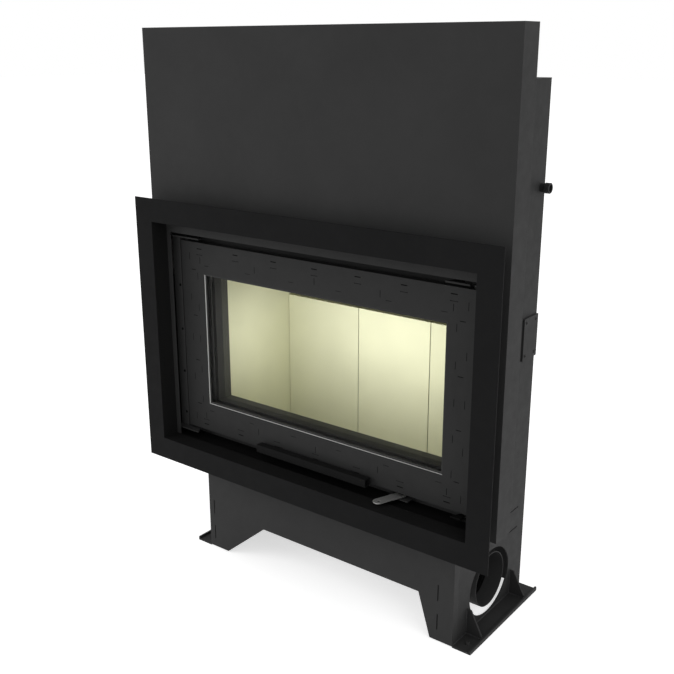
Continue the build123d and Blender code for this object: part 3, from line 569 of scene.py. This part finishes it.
def add_bead(bm, points, radius, closed=False):
    """Weld bead: a rippled roll along a polyline, with three rings to a ripple."""
    ring_distance = 4.0 / 3
    path = [Vector(p) for p in points]
    if closed:
        path.append(path[0])
    samples = []
    for a, b in zip(path, path[1:]):
        count = max(2, int((b - a).length / ring_distance))
        samples += [(a.lerp(b, i / count), (b - a).normalized()) for i in range(count)]
    samples.append((path[-1], samples[-1][1]))
    rings = []
    for index, (place, along) in enumerate(samples):
        swell = 1.0 + 0.10 * math.sin(2 * math.pi * index / 3.0)
        side = along.orthogonal().normalized()
        rings.append(ring_of(bm, place, side, along.cross(side), radius * swell, 8))
    add_tube(bm, rings)


# ---- Firebox -----------------------------------------------------------------
def brick_piece(name, finish, joint=0.35):
    """A fire board with broken edges, a little narrower than its place."""
    low, high = span(name)
    bm = bmesh.new()
    add_box(bm, (low.x + joint, high.x - joint), (low.y, high.y), (low.z, high.z), 1.4)
    shown(f"{name}_board", bm, "root", "fire_brick", finish, name)


def lining_joints():
    """Dark cement that stands back a little in the joints of the back lining."""
    low, high = span("lining_back_centre")
    bm = bmesh.new()
    for x in (low.x, high.x):
        add_box(
            bm, (x - 1.0, x + 1.0), (low.y + 2.0, low.y + 12.0), (low.z, high.z - 1.0), 0.3, 1,
        )
    shown("lining_joint_cement", bm, "root", "fire_brick", cement)


BACK_JOINT = 1.0
brick_piece("lining_left", brick)
brick_piece("lining_right", brick_second)
brick_piece("lining_back_left", brick_second, BACK_JOINT)
brick_piece("lining_back_centre", brick, BACK_JOINT)
brick_piece("lining_back_right", brick_second, BACK_JOINT)
lining_joints()
brick_piece("lower_baffle", brick_floor)
brick_piece("hearth_slab", brick_floor)


# ---- Door --------------------------------------------------------------------
def glass_pane():
    low, high = span("door_glass")
    bm = bmesh.new()
    add_box(bm, (low.x, high.x), (low.y, high.y), (low.z, high.z), 1.0, 3)
    shown("door_glass_pane", bm, "door", "glass", glass, "door_glass")


def handle():
    """Box-section bar with rounded corners on two flanged stand-offs."""
    bar_depth, wall, stand_off_x = 24.0, 3.0, 120.0
    low, high = span("door_handle")
    y, z = low.y + bar_depth / 2, (low.z + high.z) / 2
    half_z = (high.z - low.z) / 2
    outer = round_rectangle(bar_depth / 2, half_z, 2.6)
    inner = round_rectangle(bar_depth / 2 - wall, half_z - wall, 1.0)
    bm = bmesh.new()
    along_x = Matrix(((0, 0, 1, low.x), (1, 0, 0, y), (0, 1, 0, z), (0, 0, 0, 1)))
    add_plate(bm, outer, [inner], high.x - low.x, along_x, 0.5)
    to_door = span("door_front_frame")[0].y - low.y - bar_depth
    profile = [(8.0, -0.5), (8.0, to_door - 1.6), (9.4, to_door - 0.6), (9.4, to_door)]
    for x in (-stand_off_x, stand_off_x):
        add_turned(bm, profile, (x, low.y + bar_depth, z), BACK)
    shown("door_handle_bar", bm, "door", "black_paint", paint_handle, "door_handle")


glass_pane()
handle()


# ---- Air lever ---------------------------------------------------------------
def lever():
    """Round-ended flat lever with rubbed, rounded edges, a hole and a drive pin."""
    pivot_x, pivot_y, turned_at_rest = 258.3, 100.0, -21.5
    sheet, half_width = 3.0, 13.5
    tip_y, hole_y, pin_y = -70.1, -68.6, 30.0
    low, high = span("air_lever")
    turn = Matrix.Translation((pivot_x, pivot_y, high.z - sheet))
    turn @= Matrix.Rotation(math.radians(turned_at_rest), 4, "Z")
    outer = arc(0, tip_y, half_width, 180, 360, 24)
    outer += arc(0, 0, half_width, 0, 54, 6) + [(8.0, half_width)]
    outer += arc(0, pin_y, 8, 0, 180, 12) + [(-8.0, half_width)]
    outer += arc(0, 0, half_width, 126, 180, 6)
    holes = [circle(0, hole_y, 4.0), circle(0, 0, 4.05)]
    bm = bmesh.new()
    add_plate(bm, outer, holes, sheet, turn, 0.6)
    pin = turn @ Vector((0, pin_y, 0))
    pin_end = -(pin.z - low.z)
    profile = [(0, pin_end), (2.6, pin_end), (3.0, pin_end + 0.5), (3.0, 0.2)]
    add_turned(bm, profile, pin, UP, 24)
    shown("air_lever_bar", bm, "air_lever", "bright_steel", bright_lever, "air_lever")


lever()


# ---- Side nipple -------------------------------------------------------------
def threaded_nipple():
    """Pipe end with a plain neck and a spiral thread, open through its length."""
    neck, mouth, bore = 11.0, 13.45, 9.0
    steps, pitch, deep = 48, 2.0, 1.15
    low, high = span("side_nipple")
    y, z = (low.y + high.y) / 2, (low.z + high.z) / 2
    thread_start, thread_end = span("side_panel_right")[1].x + 11.0, high.x
    rows = [(low.x, neck, False), (thread_start, neck, False), (thread_start, mouth - deep, False)]
    count = int((thread_end - thread_start - 1.2) / (pitch / 6))
    for index in range(count + 1):
        rows.append((thread_start + 0.6 + index * pitch / 6, mouth, True))
    rows += [(thread_end, mouth - deep, False), (thread_end, bore, False), (low.x, bore, False)]
    bm = bmesh.new()
    rings = []
    for x, radius, threaded in rows:
        ring = []
        for step in range(steps):
            angle = 2 * math.pi * step / steps
            r = radius
            if threaded:
                phase = ((x - thread_start) / pitch - step / steps) % 1.0
                r = mouth - deep * abs(2 * phase - 1)
            ring.append(bm.verts.new((x, y + r * math.cos(angle), z + r * math.sin(angle))))
        rings.append(ring)
    for a, b in zip(rings, rings[1:] + rings[:1]):
        for step in range(steps):
            after = (step + 1) % steps
            bm.faces.new((a[step], a[after], b[after], b[step]))
    shown(
        "side_nipple_thread", bm, "root", "black_paint", paint_nipple, "side_nipple", smooth=25,
    )


threaded_nipple()


# ---- Wire ropes --------------------------------------------------------------
ROPE_RADIUS = 2.0
STRANDS, STRAND_RADIUS, STRAND_CIRCLE = 6, 0.66, 1.32
STRAND_LAY, STRAND_STEP = 16.0, 2.2


def add_strands(bm, centre, length):
    """Six strands laid round a line that centre() gives by the distance along it."""
    across = Vector(BACK)
    count = max(12, int(length / STRAND_STEP))
    for strand in range(STRANDS):
        rings = []
        for index in range(count + 1):
            s = length * index / count
            ahead = (centre(min(length, s + 0.01)) - centre(max(0.0, s - 0.01))).normalized()
            normal = ahead.cross(across)
            angle = 2 * math.pi * (strand / STRANDS + s / STRAND_LAY)
            out = normal * math.cos(angle) + across * math.sin(angle)
            middle = centre(s) + STRAND_CIRCLE * out
            rings.append(ring_of(bm, middle, normal, across, STRAND_RADIUS, 6))
        add_tube(bm, rings)


def rope_side(side):
    """One rope: two straight runs and the bend over the pulley."""
    tag = "right" if side > 0 else "left"
    low, high = span(f"wire_rope_{tag}")
    inner_x = low.x + ROPE_RADIUS if side > 0 else high.x - ROPE_RADIUS
    outer_x = high.x - ROPE_RADIUS if side > 0 else low.x + ROPE_RADIUS
    bend = abs(outer_x - inner_x) / 2
    y = (low.y + high.y) / 2
    pulley_z = high.z - ROPE_RADIUS - bend
    to_weight = pulley_z - span(f"counterweight_{tag}")[1].z

    def round_pulley(s):
        x = (inner_x + outer_x) / 2 - side * bend * math.cos(s / bend)
        return Vector((x, y, pulley_z + bend * math.sin(s / bend)))

    runs = (
        ("up", lambda s: Vector((inner_x, y, pulley_z - s)), pulley_z - low.z),
        ("bend", round_pulley, math.pi * bend),
        ("down", lambda s: Vector((outer_x, y, pulley_z - s)), to_weight),
    )
    moving_end = {"up": ("carriage", 14.0), "down": (f"counterweight_{tag}", 0.0)}
    for part, centre, length in runs:
        bm = bmesh.new()
        add_strands(bm, centre, length)
        name = f"rope_{tag}_{part}"
        if part == "bend":
            shown(name, bm, "root", "wire_rope", rope_wire, f"wire_rope_{tag}")
            continue
        made = shown(name, bm, None, "wire_rope", rope_wire, smooth=60)
        other, held = moving_end[part]
        first, last = TO_ROW @ centre(2.0), TO_ROW @ centre(length - held)
        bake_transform(made)


rope_side(1)
rope_side(-1)


# ---- Small fasteners and marks -----------------------------------------------
def stile_screws():
    """Blackened screws along both stiles, one behind each web of the door."""
    low = span("carriage_stile_right")[0]
    bm = bmesh.new()
    for side in (-1, 1):
        for z in (426.0, 553.0, 680.0, 809.0):
            add_screw(bm, (side * (low.x + 7.5), low.y, z), FRONT, 2.6, 1.6)
    shown("stile_screws", bm, "carriage", "plated_steel", mark_dark)


def levelling_studs():
    """Threaded studs whose ends stand up out of the front hole of each foot."""
    hole_from_body, hole_y = 27.2, 127.6
    crest, root, half_pitch, half_turns = 5.0, 4.5, 0.75, 13
    socket = hexagon(2.4)
    profile = [(0.0, 0.4), (4.6, 0.4)]
    profile += [
        (crest if step % 2 else root, half_pitch + half_pitch * step)
        for step in range(half_turns)
    ]
    profile += [(4.0, 10.9), (socket, 10.9), (socket, 7.5), (0.0, 7.2)]
    x = span("foot_plate_right")[0].x + hole_from_body
    bm = bmesh.new()
    for side in (-1, 1):
        add_turned(bm, profile, (side * x, hole_y, 0), UP, 36)
    shown("levelling_studs", bm, "root", "black_paint", paint_body)


def cover_screws():
    """A screw in each corner of the cover plate."""
    from_edge = 12
    low, high = span("side_cover_plate")
    bm = bmesh.new()
    for y in (low.y + from_edge, high.y - from_edge):
        for z in (low.z + from_edge, high.z - from_edge):
            add_screw(bm, (high.x, y, z), RIGHT, 3.2, 2.0)
    shown("cover_screws", bm, "root", "black_paint", paint_side_painted_shade)


def door_slot_shade_marks():
    """Near-black marks along the four sides of the door's front sheet: painted shade for the gaps
    of its filled tab slots.
    """
    face = span("door_front_frame")[0].y
    bm = bmesh.new()

    def mark(x, z, width, height):
        place = Matrix(((1, 0, 0, x), (0, 0, -1, face + 0.25), (0, 1, 0, z), (0, 0, 0, 1)))
        outline = round_rectangle(width / 2, height / 2, min(width, height) * 0.3, 3)
        add_plate(bm, outline, [], 0.3, place)

    # Slots along the top and the bottom: an open end at the rim and a hooked line inside it.
    for x in (0.0, 134.0, -134.0, 267.3, -267.3, 401.5, -401.5):
        for rim_z, inner_z in ((922.0, 905.4), (407.4, 421.5)):
            mark(x, rim_z, 18.0, 2.5)
            mark(x, inner_z, 18.0, 1.1)
            for end in (-9.5, 9.5):
                mark(x + end, inner_z, 1.4, 2.6)
    # Upright slots under the top row and over the bottom row.
    for x in (-400.5, -200.2, 0.0, 200.2, 400.5):
        for z in (890.5, 434.5):
            mark(x, z, 1.4, 18.0)
    for side in (-1, 1):
        # Level slots next to the window, above and below it.
        for x in (76.0, 225.0, 377.0):
            for z in (877.2, 452.8):
                mark(side * x, z, 17.0, 1.1)
        # Three columns down each side.
        for z in (862.0, 730.3, 598.4, 466.6):
            mark(side * 426.0, z, 15.0, 1.8)
        for z in (845.0, 754.8, 664.0, 573.4, 482.6):
            mark(side * 411.0, z, 1.3, 19.0)
        for z in (898.3, 781.6, 664.4, 547.0, 424.8):
            mark(side * 439.6, z, 1.3, 20.0)
    shown("door_tab_painted_shade", bm, "door", "black_paint", mark_dark)


def base_tabs():
    """Tabs of the inner webs that stand in the slots of the base front, painted near black as
    painted shade in the slots.
    """
    face = span("base_front_panel")[0].y
    bm = bmesh.new()
    for x, z in ((-403.0, 28.0), (-403.0, 112.0), (377.0, 34.0), (377.0, 118.0)):
        add_box(bm, (x - 1.3, x + 1.3), (face + 1.2, face + 5.0), (z + 0.4, z + 44.6), 0.2, 1)
    shown("base_front_tabs", bm, "root", "black_paint", mark_dark)


def weld_beads():
    """Fillet welds of the gussets, the feet and the flue collar."""
    gusset_faces_y = (165.0, 170.0, 400.0, 405.0)
    gusset_length, foot_top = 46.0, 5.2
    body = span("side_panel_right")[1].x
    bm = bmesh.new()
    for side in (-1, 1):
        wall, tip = side * body, side * (body + gusset_length)
        for y in gusset_faces_y:
            add_bead(bm, [(wall, y, 7.0), (wall, y, 74.0)], 1.6)
            add_bead(bm, [(wall, y, foot_top), (tip, y, foot_top)], 1.6)
        add_bead(bm, [(wall, 97.0, foot_top), (wall, 463.0, foot_top)], 1.8)
    collar_radius, count = 103.5, 90
    low, high = span("flue_collar")
    centre_y = (low.y + high.y) / 2
    ring = [
        (collar_radius * math.cos(t), centre_y + collar_radius * math.sin(t), low.z + 4.2)
        for t in (2 * math.pi * k / count for k in range(count))
    ]
    add_bead(bm, ring, 2.2, closed=True)
    shown("weld_beads", bm, "root", "black_paint", weld_finish, smooth=80)


stile_screws()
levelling_studs()
cover_screws()
door_slot_shade_marks()
base_tabs()
weld_beads()


# ---- Floor, light and camera -------------------------------------------------
FLOOR_GLOW = 0.62
SKY_LIGHT = 0.72


def seen_directly(tree):
    """1 for what the camera, reflections and glass see, and 0 for light on the pieces."""
    path = node(tree, "ShaderNodeLightPath").outputs
    seen = maths(tree, "MAXIMUM", path["Is Camera Ray"], path["Is Glossy Ray"])
    return maths(tree, "MAXIMUM", seen, path["Is Transmission Ray"])


def floor():
    """A wide floor that is seen as white, but lights the pieces as pale grey would."""
    bm = bmesh.new()
    bmesh.ops.create_grid(bm, x_segments=8, y_segments=8, size=40.0)
    mesh = bpy.data.meshes.new("studio_floor")
    bm.to_mesh(mesh)
    bm.free()
    made = bpy.data.objects.new("studio_floor", mesh)
    scene.collection.objects.link(made)
    material, tree, _ = start("studio_floor")
    pale = node(tree, "ShaderNodeBsdfDiffuse", {"Color": (0.8, 0.8, 0.8, 1)})
    strength = maths(tree, "MULTIPLY", seen_directly(tree), FLOOR_GLOW)
    glow = node(tree, "ShaderNodeEmission", {"Color": (1, 1, 1, 1), "Strength": strength})
    show_shader(tree, node(tree, "ShaderNodeAddShader", {0: pale.outputs[0], 1: glow.outputs[0]}))
    mesh.materials.append(material)


def world():
    """White where it is seen, and a softer white as light."""
    made = bpy.data.worlds.new("studio")
    made.use_nodes = True
    tree = made.node_tree
    tree.nodes.clear()
    strength = spread(tree, seen_directly(tree), 0.0, 1.0, SKY_LIGHT, 1.0)
    sky = node(tree, "ShaderNodeBackground", {"Color": (1, 1, 1, 1), "Strength": strength})
    node(tree, "ShaderNodeOutputWorld", {"Surface": sky.outputs[0]})
    scene.world = made


def lamp(name, place, target, size, power):
    data = bpy.data.lights.new(name, "AREA")
    data.shape = "RECTANGLE"
    data.size, data.size_y = size
    data.energy = power
    made = bpy.data.objects.new(name, data)
    made.location = place
    made.rotation_euler = (Vector(target) - Vector(place)).to_track_quat("-Z", "Y").to_euler()
    made.visible_camera = False
    made.visible_glossy = False
    made.visible_transmission = False
    scene.collection.objects.link(made)


def camera():
    """The photo's camera, solved from the straight edges of the object."""
    pan, tilt, roll = 37.3648, 72.7596, -0.0339
    data = bpy.data.cameras.new("camera")
    data.lens = 50.0
    data.sensor_width = 36.0
    data.clip_end = 200.0
    made = bpy.data.objects.new("camera", data)
    made.location = (1.4214, -1.9216, 1.4496)
    aim = Matrix.Rotation(math.radians(pan), 4, "Z") @ Matrix.Rotation(math.radians(tilt), 4, "X")
    made.rotation_euler = (aim @ Matrix.Rotation(math.radians(roll), 4, "Z")).to_euler()
    scene.collection.objects.link(made)
    scene.camera = made


floor()
world()
lamp("soft_right", (3.6, -1.6, 2.4), (0, 0, 0.7), (2.4, 2.4), 37)
lamp("soft_left", (-2.6, -3.2, 2.2), (0, 0, 0.7), (2.4, 2.4), 41.5)
lamp("firebox_glow", (0.04, -0.06, 0.68), (0.05, 0.20, 0.65), (0.54, 0.08), 0.98)
lamp("firebox_glow_side", (-0.20, -0.06, 0.68), (-0.40, -0.07, 0.64), (0.10, 0.16), 0.18)
camera()
scene.view_settings.view_transform = "Standard"
